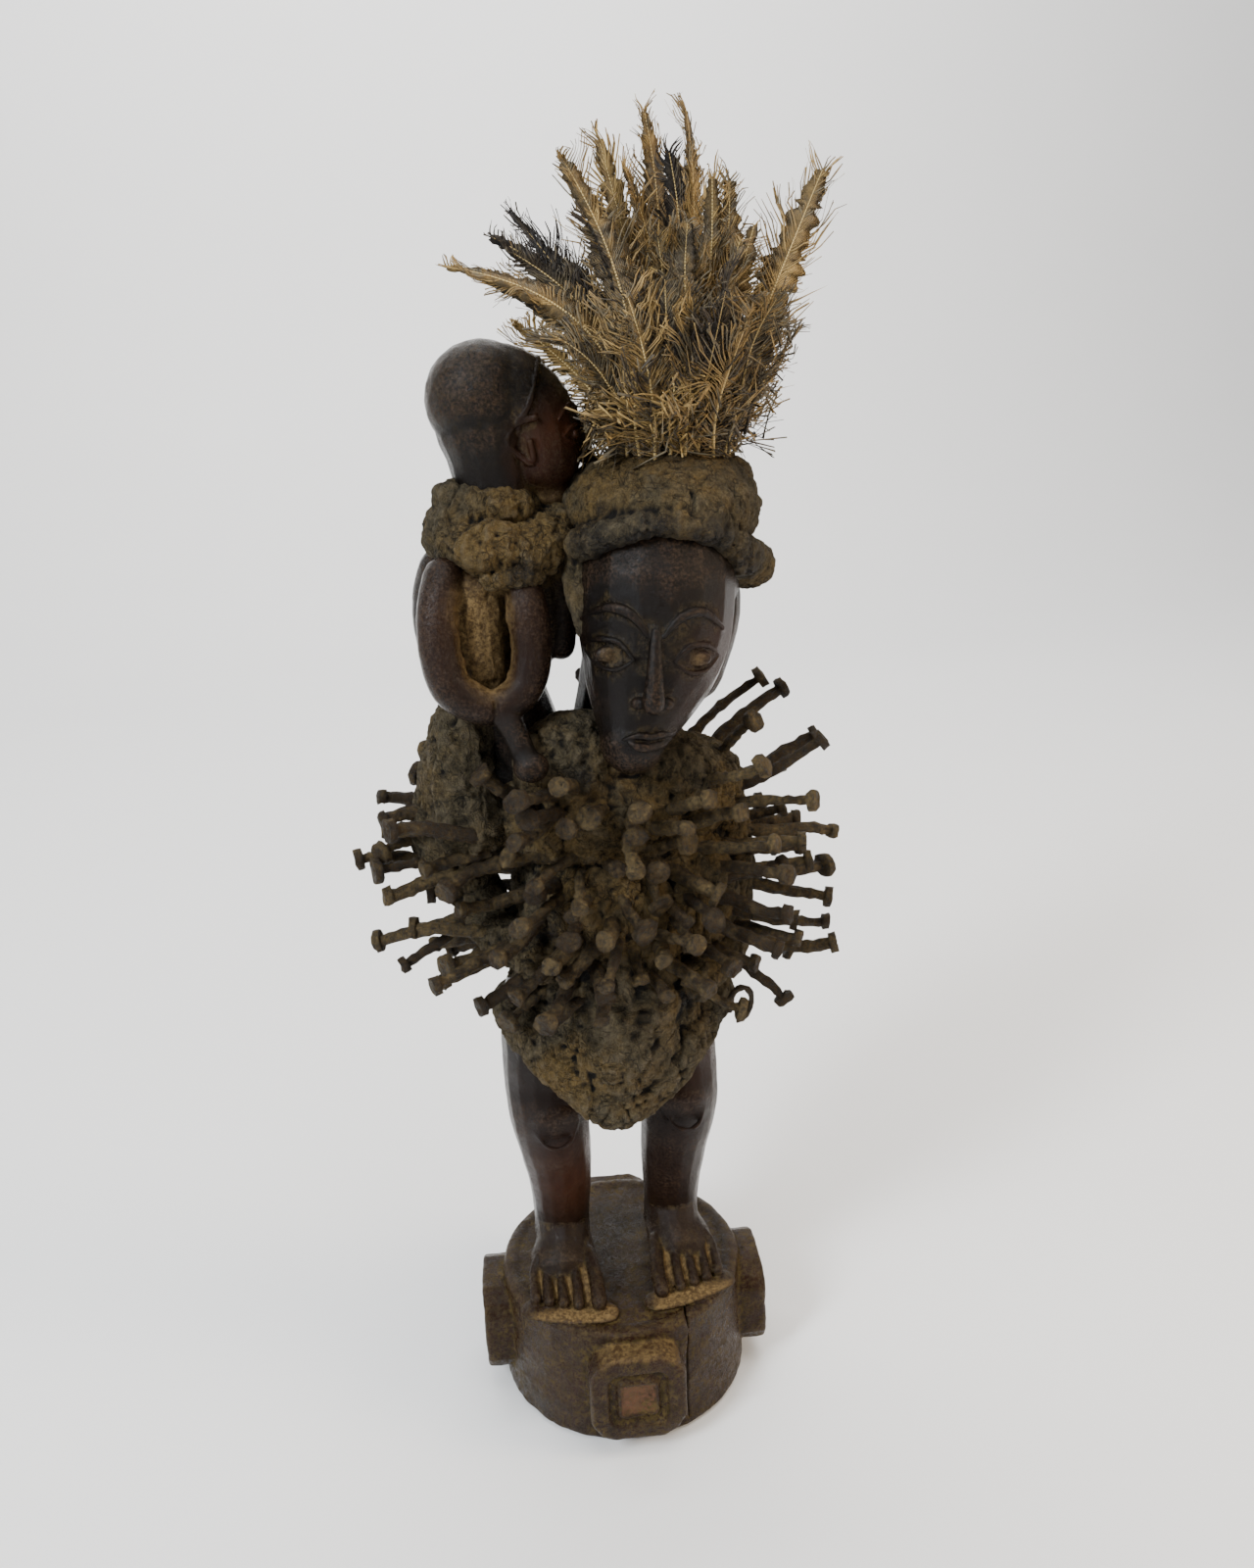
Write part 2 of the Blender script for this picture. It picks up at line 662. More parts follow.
def main_head(mass):
    mass.lump(spot(30, -2, 348), (36, 42, 37))
    course = [(25, -24, 346), (22, -29, 322), (15, -37, 302), (8, -47, 285)]
    mass.limb([spot(*p) for p in course], [33, 31.5, 24, 13.5], steps=6)
    mass.limb([spot(52, 8, 352), spot(54, 6, 326), spot(46, 4, 300)], [15, 15, 14])


def companion(mass):
    """A small figure squatting at the shoulder, its arms round its knees, its head thrown back."""
    mass.lump(spot(-38, 0, 419), (22.5, 21, 22))
    face = [spot(-30, 0, 420), spot(-20, 0, 412), spot(-16, 0, 393), spot(-14, 0, 383)]
    mass.limb(face, [19, 19, 17.5, 11])
    mass.limb([spot(-37, 0, 408), spot(-35, 0, 385), spot(-35, 0, 364)], [20, 17, 16.5])
    mass.limb([spot(-42, 0, 360), spot(-46, 0, 335), spot(-45, 0, 310)], [19, 20, 19])
    mass.limb([spot(-44, 0, 312), spot(-36, 0, 285), spot(-28, 0, 262)], [19, 20, 18])
    mass.limb([spot(-30, 0, 310), spot(-24, 0, 330), spot(-20, 0, 350)], [13, 12, 10])
    mass.limb([spot(-12, -3, 358), spot(-12, -4, 337), spot(-13, -4, 318)], [9, 8, 6.5])
    arm = [
        (-60, 17, 351),
        (-64.5, 25, 337),
        (-64.5, 29, 320),
        (-60, 31, 307.5),
        (-46.5, 32, 300.5),
        (-33.5, 31, 306),
        (-28.5, 29, 319),
        (-28.5, 27, 336),
        (-31, 20, 352),
    ]
    for side in (LEFT, RIGHT):
        mass.limb([spot(x, side * y, z) for x, y, z in arm], [9, 8.5, 8.5, 8.5, 7.5, 8, 8.5, 8.5, 8])
        mass.limb([spot(-48, side * 13, 344), spot(-48, side * 14, 310)], [12, 11.5])
        shank = [(-42, 32, 300), (-38, 38, 290), (-35, 41, 281)]
        mass.limb([spot(x, side * y, z) for x, y, z in shank], [6.5, 5.2, 5.2])
        mass.lump(spot(-33, side * 43, 277), (7.5, 6.5, 6.5))


class Face:
    """Features set on a head: `brow` lies near the skin between the brows, `size` is the height
    from hairline to chin in grid parts, `ahead` and `up` are the way the face looks and stands."""

    def __init__(self, head, features, brow, size, ahead, up):
        self.tree = head.tree()
        self.features = features
        self.brow = brow
        self.size = size
        self.ahead = ahead.normalized()
        self.right = self.ahead.cross(up).normalized()
        self.up = self.right.cross(self.ahead)
        self.eye = size * 0.14

    def on_skin(self, across, down, proud=0.0):
        """The skin's place so far across and down from the brow, stood off by `proud`."""
        start = self.brow + (self.right * across - self.up * down + self.ahead * self.size) * GRID
        hit = self.tree.ray_cast(start, -self.ahead)[0]
        return hit + self.ahead * proud * GRID

    def ridge(self, places, thick, unit):
        """A raised line over the skin that thins out at both its ends."""
        course = [self.on_skin(a * unit, d * unit) for a, d in places]
        widths = [thick * (0.5 if k in (0, len(course) - 1) else 1.0) for k in range(len(course))]
        self.features.limb(course, widths, across=self.ahead, sides=8, steps=3)

    def eye_place(self, side, proud):
        return self.on_skin(side * 1.33 * self.eye, 0.9 * self.eye, proud * self.size)

    def eye_places(self):
        return [self.eye_place(side, 0.02) for side in (LEFT, RIGHT)]

    def carve(self):
        size, eye = self.size, self.eye
        brow = ((0.25, 0.2), (0.7, -0.35), (1.4, -0.5), (2.1, 0.05))
        upper_lid = ((0.6, 0.95), (1.05, 0.5), (1.6, 0.5), (2.05, 0.9))
        lower_lid = ((0.6, 0.95), (1.05, 1.3), (1.6, 1.3), (2.05, 0.9))
        for side in (LEFT, RIGHT):
            for course, thick in ((brow, 0.024), (upper_lid, 0.016), (lower_lid, 0.013)):
                self.ridge([(side * a, d) for a, d in course], size * thick, eye)
            radii = (size * 0.06, size * 0.03, size * 0.038)
            self.features.lump(self.eye_place(side, -0.01), radii, self.ahead.to_track_quat("Y", "Z"))
            wing = self.on_skin(side * 0.42 * eye, size * 0.31, size * 0.01)
            self.features.lump(wing, (size * 0.034, size * 0.034, size * 0.028))
        nose = [(0.1 * eye, -0.01), (size * 0.18, 0.03), (size * 0.30, 0.045)]
        course = [self.on_skin(0, down, proud * size) for down, proud in nose]
        self.features.limb(course, [size * 0.026, size * 0.036, size * 0.050], sides=10, steps=3)
        upper_lip = ((-0.11, 0.466), (-0.05, 0.449), (0, 0.455), (0.05, 0.449), (0.11, 0.466))
        lower_lip = ((-0.09, 0.478), (-0.04, 0.496), (0.04, 0.496), (0.09, 0.478))
        self.ridge(upper_lip, size * 0.018, size)
        self.ridge(lower_lip, size * 0.021, size)


def skin_line(features, tree, centre, places, thick):
    """A raised line laid on the skin, with its places dropped on to it towards `centre`."""
    course = []
    for place in places:
        outward = (place - centre).normalized()
        course.append(tree.ray_cast(centre + outward * FIGURE_HEIGHT / 4, -outward)[0])
    features.limb(course, [thick] * len(course), sides=8, across=UPWARD + SIDEWAYS, steps=3)


def companion_head_lines(features, tree):
    """The edge of the companion's cap, over the crown to both ears, and the leaf-shaped ears."""
    centre = spot(-26, 0, 406)
    cap_edge = [(-28, 20, 409), (-22, 19, 416), (-19, 15, 425), (-16, 8, 432)]
    crown = [spot(-15, 0, 434)]
    left_half = [spot(x, LEFT * y, z) for x, y, z in cap_edge]
    right_half = [spot(x, RIGHT * y, z) for x, y, z in reversed(cap_edge)]
    skin_line(features, tree, centre, left_half + crown + right_half, 1.5)
    leaf = [(-20, 18, 411), (-27, 19, 409.5), (-32, 20, 403), (-28, 19, 397), (-21, 18, 393), (-22, 18, 402)]
    for side in (LEFT, RIGHT):
        skin_line(features, tree, centre, [spot(x, side * y, z) for x, y, z in leaf], 1.6)


def worn(mesh, size, depth, seed=0):
    """Slight unevenness of a surface cut with an adze and worn by hands."""
    co = places_of(mesh)
    move_to(mesh, co + normals_of(mesh) * (rolling(co, size, seed, 3) * depth * MM)[:, None])


def softened(mesh, spots, radius, rounds):
    """Eases the surface near some spots, so that what stands out there swells and sinks gently."""
    co = places_of(mesh)
    share = np.clip(sum(within(co, place, radius, 0.5) for place in spots), 0, 1)
    smooth = eased(co, edges_of(mesh), round(rounds / COARSE**2))
    move_to(mesh, co + (smooth - co) * share[:, None])


def toe_clay(foot):
    """The courses of the clay that fills the channels between the toes."""
    courses = []
    for inside, tip in ((8.6, 52), (0.6, 50), (-6.4, 47), (-13, 45)):
        stations = ((26, inside * 0.85, 11.5), (tip - 16, inside, 7.4), (tip - 6, inside, 2.5))
        courses.append([foot.place(*station) for station in stations])
    return courses


def drying_crack():
    """A thin wedge along the crack that runs from the toes over the rim and down the front."""
    course = [
        ((20.2, -37.1, 62.0), (0, 0, 1)),
        ((22.4, -43.8, 62.0), (0, 0, 1)),
        ((21.1, -52.5, 62.0), (0, -0.2, 1)),
        ((21.6, -58.5, 59.5), (0, -1, 1)),
        ((21.7, -56.5, 51.0), (0.35, -1, 0)),
        ((20.6, -57.4, 42.4), (0.35, -1, 0)),
        ((20.2, -57.8, 35.4), (0.35, -1, 0)),
        ((19.8, -58.2, 21.2), (0.35, -1, 0)),
        ((20.4, -58.0, 6.0), (0.35, -1, 0)),
    ]
    bm = bmesh.new()
    rings = []
    for place, outward in course:
        middle, outward = Vector(place) * MM, Vector(outward).normalized()
        wide, narrow = SIDEWAYS * 1.1 * MM, SIDEWAYS * 0.1 * MM
        top, foot = middle + outward * 5 * MM, middle - outward * 4.5 * MM
        rings.append([top - wide, top + wide, foot + narrow, foot - narrow])
    skin_rings(bm, rings)
    return from_bmesh(bm)


def base_mesh():
    """The cracked plinth, and the legs and trunk that stand in it."""
    drum = remelted(joined(plinth_form(), *[panel_form(quarter) for quarter in range(4)]), 0.75)
    worn(drum, 10, 0.5, 3)
    worn(drum, 2.5, 0.12, 4)
    drum = joined(drum, drying_crack(), operation="DIFFERENCE")
    move_to(drum, np.maximum(places_of(drum), (-1, -1, 0)))
    mass, features = Mass(), Mass()
    for side in (LEFT, RIGHT):
        leg(mass, side)
        kneecap_ridge(features, side)
        foot = Foot(side)
        foot.block(mass)
        foot.toes(features)
        for course in toe_clay(foot):
            features.limb(course, [2.2, 2.3, 1.8], sides=8, steps=3)
    trunk(mass)
    body = joined(melted(mass, 0.9, 4), melted(features, 0.5, 2))
    softened(body, [spot(side * 31, -24, 90) for side in (LEFT, RIGHT)], 20, 80)
    softened(body, [spot(side * 29, 22, 74) for side in (LEFT, RIGHT)], 32, 160)
    worn(body, 9, 0.3, 5)
    return drum, body


def head_mesh():
    """The main head, and where its eyes are."""
    mass, features = Mass(), Mass()
    main_head(mass)
    face = Face(mass, features, spot(17, -60, 332), 94, Vector((-0.12, -1, 0)), Vector((0.09, 0, 1)))
    face.carve()
    mesh = joined(melted(mass, 0.8, 4), melted(features, 0.45, 2))
    worn(mesh, 12, 0.2, 8)
    return mesh, face.eye_places()


def companion_mesh():
    """The companion, its cap a shade thicker than the skin, and where its eyes are."""
    mass, features = Mass(), Mass()
    companion(mass)
    companion_head_lines(features, mass.tree())
    face = Face(mass, features, spot(1, 0, 412), 58, Vector((1, -0.08, 0.12)), Vector((-0.12, 0, 1)))
    face.carve()
    plain = melted(mass, 0.8, 4)
    co = places_of(plain)
    behind = (spot(-17, 0, 430).x - co[:, 0]) + (co[:, 2] - level(430)) * 0.35
    cap = faded(behind, 0.8) * faded(co[:, 2] - level(396), 6)
    move_to(plain, co + normals_of(plain) * (cap * 0.9 * MM)[:, None])
    mesh = joined(plain, melted(features, 0.45, 2))
    worn(mesh, 10, 0.3, 9)
    return mesh, face.eye_places()


def on_bosses(co):
    """1 on the boss in the middle of each panel of the plinth."""
    share = np.zeros(len(co))
    half = PANEL_WIDTH / 2 - PANEL_FRAME - PANEL_STEP * 3.2
    for quarter in range(4):
        turn = np.array(Matrix.Rotation(PANEL_TURN + quarter * math.pi / 2, 3, "Z"))
        local = co @ turn
        square = np.maximum(np.abs(local[:, 0]), np.abs(local[:, 2] - PANEL_MIDDLE))
        front = local[:, 1] < -(PLINTH_RADIUS + PANEL_RELIEF / 2)
        share = np.maximum(share, front * faded(half - square, 0.8))
    return share


def toe_filling(co):
    """1 on the clay between the toes."""
    away = np.full(len(co), 9.0)
    for side in (LEFT, RIGHT):
        for course in toe_clay(Foot(side)):
            away = np.minimum(away, line_distance(co, course))
    return np.clip((3.0 - away) / 0.6, 0, 1)


def carving():
    """The whole carving, with clay in its hollows, and where dirt, ochre, inlay and red wood show."""
    head, eyes = head_mesh()
    small, small_eyes = companion_mesh()
    mesh = thinned(joined(*base_mesh(), head, small), CARVING_TRIANGLES)
    co = places_of(mesh)
    high = co[:, 2]
    arm_rows = itertools.product((LEFT, RIGHT), (338, 322, 310))
    hollows = sum(within(co, spot(-47, side * 24, z), 17, 0.5) for side, z in arm_rows)
    under_chin = within(co, spot(-22, 0, 364), 26)
    torso = within(co, spot(-40, 0, 335), 34)
    filling = toe_filling(co)
    crust = np.clip(hollows + under_chin + torso * 0.5 + filling * 0.4, 0, 1)
    lumpy = rolling(co, 5, 51, 4) * 1.1 - creases(co, 7, 57, 0.12) * 1.2
    move_to(mesh, co + normals_of(mesh) * (crust * lumpy * MM)[:, None])
    store_hollows(mesh, 14, 1.0)

    up = normals_of(mesh)[:, 2]
    around = np.hypot(co[:, 0], co[:, 1])
    plinth = faded(PLINTH_HEIGHT + 5 * MM - high, 7)
    crown = within(co, spot(-40, 0, 425), 40, 0.9) * 0.5
    shins = faded(level(40) - high, 20) * 0.4
    store(mesh, "dirt", np.clip(plinth * 0.95 + torso * 0.8 + under_chin + crown + shins, 0, 1))

    front = faded(24 * MM - np.abs(co[:, 0]), 3) * (co[:, 1] < 0)
    edge = (around > PLINTH_RADIUS - MM) * (high > PLINTH_HEIGHT * 0.8)
    ledges = front * plinth * edge * (up > 0.35)
    low = (high > PLINTH_HEIGHT + 0.6 * MM) * (high < PLINTH_HEIGHT + 3.5 * MM) * (up > 0.2)
    pad = low * (np.abs(np.abs(co[:, 0]) - 29 * MM) < 21 * MM) * faded(-36 * MM - co[:, 1], 4)
    pale_eyes = sum(within(co, eye, 3.6, 0.3) for eye in eyes)
    pale_eyes += sum(within(co, eye, 2.2, 0.3) for eye in small_eyes)
    ochre = np.clip(hollows, 0, 1) * 0.95 + ledges * 0.6 + under_chin * 0.7 + pale_eyes * 0.45
    ochre += np.maximum(pad, filling * 1.2)
    store(mesh, "ochre", np.clip(eased(ochre, edges_of(mesh), 1), 0, 1))
    store(mesh, "inlay", on_bosses(co))

    cheek = within(co, spot(-10, -14, 398), 26, 0.8)
    right = within(co, spot(56, -34, 305), 46, 0.9)
    legs = faded(level(150) - high, 50) * (1 - plinth) * 0.2
    legs += within(co, spot(-20, -16, 62), 34, 0.9) * 0.7
    legs += within(co, spot(40, -14, 130), 40, 0.9) * 0.5
    arm = within(co, spot(-45, -20, 330), 44) * 0.25
    store(mesh, "warm", np.clip(cheek * 1.3 + right + legs + arm + plinth * 0.45, 0, 1))
    return mesh


# The clay


def pack_mass():
    """The pack round the trunk, down to its point in front, and over both arms."""
    mass = Mass()
    mass.lump(spot(0, -1, 246), (52, 41, 32))
    mass.lump(spot(0, -4, 198), (43, 42, 48))
    mass.lump(spot(3, -1, 151), (51, 45, 34))
    mass.limb([spot(1, -20, 160), spot(-2, -31, 137), spot(-5, -37, 117)], [34, 28, 15])
    mass.limb([spot(-42, -14, 154), spot(-27, -29, 139), spot(-8, -37, 120)], [14, 15, 15])
    mass.limb([spot(44, -12, 149), spot(26, -29, 136), spot(2, -37, 119)], [13, 15, 15])
    mass.limb([spot(-36, 22, 136), spot(0, 34, 130), spot(38, 22, 136)], [16, 16, 16])
    mass.limb([spot(-56, -4, 288), spot(-60, -4, 268), spot(-57, -2, 246)], [14, 17, 19], flat=1.4)
    mass.lump(spot(40, -3, 250), (26, 30, 23))
    mass.lump(spot(28, -20, 262), (24, 18, 18))
    mass.lump(spot(34, -8, 204), (28, 30, 36))
    mass.lump(spot(-14, -23, 270), (25, 18, 24))
    left_arm = [(-58, 2, 262), (-68, 4, 236), (-57, 5, 204), (-48, -16, 192), (-32, -32, 184)]
    mass.limb([spot(*p) for p in left_arm], [19, 16, 12, 10.5, 9.5])
    right_arm = [(48, 0, 250), (57, 2, 220), (60, 3, 180), (50, -18, 172), (36, -34, 168)]
    mass.limb([spot(*p) for p in right_arm], [17, 14.5, 12.5, 10.5, 9.5])
    return mass


def cap_mass():
    """A domed cap with a thick lip over the brow and clay run down beside the face."""
    mass = Mass()
    mass.lump(spot(32, -2, 373), (42, 52, 26))
    mass.lump(spot(36, -1, 384), (36, 36, 14))
    lip = [(-6, -16, 359), (-2, -37, 365), (17, -51.5, 371), (42, -47, 367), (61, -28, 354), (69, -8, 346)]
    mass.limb([spot(*p) for p in lip], [7.5, 6.5, 5.5, 6, 8, 9])
    mass.lump(spot(70, -6, 347), (11, 12, 9.5))
    mass.limb([spot(-5, -18, 358), spot(-6, -26, 344), spot(-4, -28, 330)], [7.5, 6.5, 5.5])
    mass.limb([spot(68, 10, 352), spot(48, 40, 344), spot(14, 40, 344), spot(-4, 16, 352)], [9, 9, 9, 9])
    return mass


def collar_mass():
    """A twist of clay round the companion's neck, knotted in front and built up under its chin."""
    mass = Mass()
    ring = [
        (-55, -6, 369),
        (-46, -19, 362),
        (-30, -22, 359),
        (-17, -15, 365),
        (-15, 2, 370),
        (-21, 18, 365),
        (-40, 20, 363),
        (-54, 10, 367),
        (-55, -6, 369),
    ]
    mass.limb([spot(*p) for p in ring], [11, 11, 11, 10, 9, 10, 11, 11, 11], steps=3)
    mass.lump(spot(-37, 0, 376), (22, 22, 13))
    mass.lump(spot(-52, 2, 379), (9, 14, 10))
    mass.lump(spot(-41, -25, 363), (14, 9, 10))
    mass.lump(spot(-22, -21, 360), (10, 10, 9))
    mass.lump(spot(-34, -26, 351), (13, 7, 6))
    mass.lump(spot(-40, 25, 362), (13, 9, 10))
    return mass


def creases(co, size, seed, width=0.10):
    """1 in the winding lines where rolling noise crosses nought, and 0 away from them."""
    drift = np.stack([rolling(co, size * 0.8, seed + 40 + k, 2) for k in range(3)], 1)
    warped = co + drift * size * 0.35 * MM
    return np.clip(1 - np.abs(rolling(warped, size, seed, 2)) / width, 0, 1)


def crusted(mesh, lumps, crumbs, cracks, seed):
    """Lumps, folds, crumbs and cracks on dried clay, each so many millimetres deep."""
    co = places_of(mesh)
    drawn = co * np.array((1, 1, 0.45))
    rise = rolling(co, 15, seed, 3) * lumps
    rise += (0.5 - np.abs(rolling(drawn, 9, seed + 3, 2))) * lumps
    rise += (0.3 - np.abs(rolling(co, 4.5, seed + 5, 3))) * crumbs * 1.6
    rise -= creases(drawn, 11, seed + 9) * cracks
    rise -= creases(co, 5, seed + 21, 0.14) * cracks * 0.6
    move_to(mesh, co + normals_of(mesh) * (rise * MM)[:, None])


def clay_piece(mesh, lumps, crumbs, cracks, seed, ochres=(), resins=()):
    """A crusted piece, ochre and resinous round the (place, radius) pairs that are given."""
    crusted(mesh, lumps, crumbs, cracks, seed)
    store_hollows(mesh, 10, 1.2)
    co = places_of(mesh)
    rough = rolling(co, 6, seed + 31, 3) * 0.5
    for name, spots in (("ochre", ochres), ("resin", resins)):
        total = sum((within(co, centre, radius, 0.6) for centre, radius in spots), np.zeros(len(co)))
        store(mesh, name, np.clip(total * (1 + rough) + (total > 0) * rough * 0.6, 0, 1))
    return mesh


# The nails


# Height, lean to the right and left, reach to the right and left, and nails to the row
NAIL_ROWS = (
    (268, 50, 30, 0.78, 0.74, 14),
    (257, 30, 20, 0.88, 0.80, 16),
    (244, 14, 8, 0.95, 0.92, 17),
    (230, 4, 2, 1.0, 1.0, 18),
    (216, -4, -6, 1.02, 0.98, 18),
    (202, -8, -8, 1.0, 0.96, 18),
    (188, -12, -10, 0.96, 0.92, 17),
    (174, -14, -12, 0.90, 0.86, 15),
)


def nails_on(mass, seed=7):
    """Where each nail enters the clay, the way it stands and its length."""
    tree = mass.tree()
    draw = random.Random(seed)
    nails = []
    for row, (height, right_lean, left_lean, right_share, left_share, count) in enumerate(NAIL_ROWS):
        for k in range(count):
            around = math.tau * (k + 0.5 * (row % 2) + draw.uniform(-0.25, 0.25)) / count
            rightness = (math.sin(around) + 1) / 2
            reach = NAIL_REACH * (left_share + (right_share - left_share) * rightness)
            tilt = math.radians(left_lean + (right_lean - left_lean) * rightness + draw.uniform(-12, 12))
            share = draw.uniform(0.75, 1.12) * (1 - 0.25 * max(math.cos(around), 0))
            axis = spot(4, 0, height + draw.uniform(-6, 6))
            outward = Vector((math.sin(around), -math.cos(around), 0))
            hit = tree.ray_cast(axis + outward * NAIL_REACH * 2, -outward)[0]
            room = (reach - (hit - axis).length) / math.cos(tilt)
            length = min(NAIL_LENGTH, room) * share
            heading = Quaternion(UPWARD, draw.uniform(-0.22, 0.22)) @ outward
            ahead = heading * math.cos(tilt) + UPWARD * math.sin(tilt)
            if not is_crowded(hit, ahead, length) and not is_buried(tree, hit, ahead, length):
                nails.append((hit, ahead, length))
    return nails


def is_crowded(hit, ahead, length):
    """True where the heads or the companion leave no room for a nail."""
    keep_off = (
        (spot(18, -30, 312), 54),
        (spot(-42, 0, 320), 44),
        (spot(29, 2, 340), 54),
        (spot(-35, -40, 284), 17),
        (spot(-35, 40, 284), 17),
    )
    for centre, radius in keep_off:
        for share in (0.0, 0.5, 1.0):
            if (hit + ahead * length * share - centre).length < radius * GRID:
                return True
    return False


def is_buried(tree, hit, ahead, length):
    """True where the nail would graze or meet the clay again on its way out."""
    side = ahead.cross(UPWARD).normalized()
    lift = side.cross(ahead)
    for turn in range(4):
        a = math.tau * turn / 4
        start = hit + ahead * NAIL_HEAD + (side * math.cos(a) + lift * math.sin(a)) * NAIL_HEAD * 0.7
        if tree.ray_cast(start, ahead, length)[0] or length < NAIL_HEAD * 1.5:
            return True
    return False


def nails_apart(one, two):
    """The smallest distance between two nails, by samples along both."""
    samples = [
        [hit + ahead * (share * (length + NAIL_DEPTH) - NAIL_DEPTH) for share in (k / 7 for k in range(8))]
        for hit, ahead, length in (one, two)
    ]
    return min((p - q).length for p in samples[0] for q in samples[1])


def share_out(nails):
    """Parts the nails into pieces of their own, from the sides first, and blunt ones crusted into
    the clay, from the front first."""
    head_room = NAIL_HEAD * 1.2 + 3 * CLEARANCE
    side_room = (NAIL_HEAD + NAIL_THICKNESS) * 0.6 + 3 * CLEARANCE
    shank_room = NAIL_THICKNESS * 1.2 + 3 * CLEARANCE

    def from_the_sides(nail):
        ahead, length = nail[1:]
        return ahead.y * 0.7 - abs(ahead.x) - 0.16 * length / NAIL_LENGTH

    loose, bedded = [], []
    for nail in sorted(nails, key=from_the_sides):
        if all(nails_apart(nail, other) > head_room for other in loose):
            loose.append(nail)
    loose = loose[:LOOSE_NAILS]
    for nail in sorted(nails, key=lambda nail: nail[1].y):
        clear = nail not in loose and all(nails_apart(nail, other) > side_room for other in loose)
        if clear and all(nails_apart(nail, other) > shank_room for other in bedded):
            bedded.append(nail)
    return loose, bedded[:BEDDED_NAILS]


class Growth(Wiring):
    """A Geometry Nodes tree with named inputs for its sizes, a seed and a material."""

    def __init__(self, name, sizes, material):
        super().__init__(bpy.data.node_groups.new(name, "GeometryNodeTree"))
        kinds = {"Geometry": "Geometry", **dict.fromkeys(sizes, "Float"), "Seed": "Int", material: "Material"}
        for label, kind in kinds.items():
            self.tree.interface.new_socket(label, in_out="INPUT", socket_type=f"NodeSocket{kind}")
        self.tree.interface.new_socket("Geometry", in_out="OUTPUT", socket_type="NodeSocketGeometry")
        self.given = self.add("NodeGroupInput", out=None).outputs
        self.paint = self.given[material]

    def named(self, name, kind="FLOAT"):
        return self.add("GeometryNodeInputNamedAttribute", {"Name": name}, data_type=kind)

    def marked(self, geometry, name, value, kind="FLOAT"):
        inputs = {"Geometry": geometry, "Name": name, "Value": value}
        return self.add("GeometryNodeStoreNamedAttribute", inputs, domain="POINT", data_type=kind)

    def scaled(self, vector, factor):
        return self.add("ShaderNodeVectorMath", {0: vector, "Scale": factor}, operation="SCALE")

    def combined(self, x, y, z):
        return self.add("ShaderNodeCombineXYZ", {"X": x, "Y": y, "Z": z})

    def drawn(self, low, high):
        """A random number from low to high for each copy."""
        return self.add("FunctionNodeRandomValue", {2: low, 3: high, "Seed": self.given["Seed"]}, out=1)

    def swept(self, course, profile, scale):
        """A closed tube or blade along a course."""
        inputs = {"Curve": course, "Profile Curve": profile, "Scale": scale, "Fill Caps": True}
        return self.add("GeometryNodeCurveToMesh", inputs)

    def ring(self, corners):
        return self.add("GeometryNodeCurvePrimitiveCircle", {"Resolution": corners, "Radius": 0.5})

    def solid(self, *parts):
        """The parts as one, with their instances made real."""
        both = self.add("GeometryNodeJoinGeometry", out=None)
        for part in parts:
            self.tree.links.new(part, both.inputs[0])
        return self.add("GeometryNodeRealizeInstances", {"Geometry": both.outputs[0]})

    def finish(self, *parts):
        """Ends the tree with its parts made real and painted."""
        painted = {"Geometry": self.solid(*parts), "Material": self.paint}
        painted = self.add("GeometryNodeSetMaterial", painted)
        self.add("NodeGroupOutput", {"Geometry": painted}, out=None)
        return self.tree


def nail_tree():
    """Shanks along the lines, with a hammered head on the end of each, crusted all over."""
    sizes = ("Shank thickness", "Head width", "Head thickness", "Crust")
    wire = Growth("forged nails", sizes, "Iron")
    given = wire.given
    line = wire.add("GeometryNodeMeshToCurve", {"Mesh": given["Geometry"]})
    size = wire.times(wire.named("stout"), given["Shank thickness"])
    shank = wire.swept(line, wire.ring(9), size)
    disc = {"Vertices": 12, "Side Segments": 2, "Fill Segments": 2, "Radius": 0.5, "Depth": 1.0}
    disc = wire.add("GeometryNodeMeshCylinder", disc)
    tangent = {"Vector": wire.add("GeometryNodeInputTangent")}
    turn = wire.add("FunctionNodeAlignEulerToVector", tangent, axis="Z")
    tips = wire.add("GeometryNodeCurveEndpointSelection", {"Start Size": 0, "End Size": 1})
    wide = wire.times(wire.named("breadth"), given["Head width"])
    shape = wire.combined(wide, wire.times(wide, wire.drawn(0.7, 1.1)), given["Head thickness"])
    inputs = {"Points": line, "Selection": tips, "Instance": disc, "Rotation": turn, "Scale": shape}
    heads = wire.add("GeometryNodeInstanceOnPoints", inputs)
    lumps = wire.add("ShaderNodeTexNoise", {"Scale": 260.0, "Detail": 4.0, "Roughness": 0.8})
    push = wire.times(wire.math("SUBTRACT", lumps, 0.45), given["Crust"])
    offset = wire.scaled(wire.add("GeometryNodeInputNormal"), push)
    crusted_nails = {"Geometry": wire.solid(shank, heads), "Offset": offset}
    return wire.finish(wire.add("GeometryNodeSetPosition", crusted_nails))


def lines_mesh(courses, **values):
    """A mesh of bare lines, one for each course of places, with named values on its points."""
    mesh = bpy.data.meshes.new("lines")
    places = [tuple(place) for course in courses for place in course]
    edges, start = [], 0
    for course in courses:
        edges += [(start + k, start + k + 1) for k in range(len(course) - 1)]
        start += len(course)
    mesh.from_pydata(places, edges, [])
    for name, numbers in values.items():
        numbers = np.asarray(numbers, np.float32)
        kind, field = ("FLOAT", "value") if numbers.ndim == 1 else ("FLOAT_VECTOR", "vector")
        mesh.attributes.new(name, kind, "POINT").data.foreach_set(field, numbers.ravel())
    return mesh


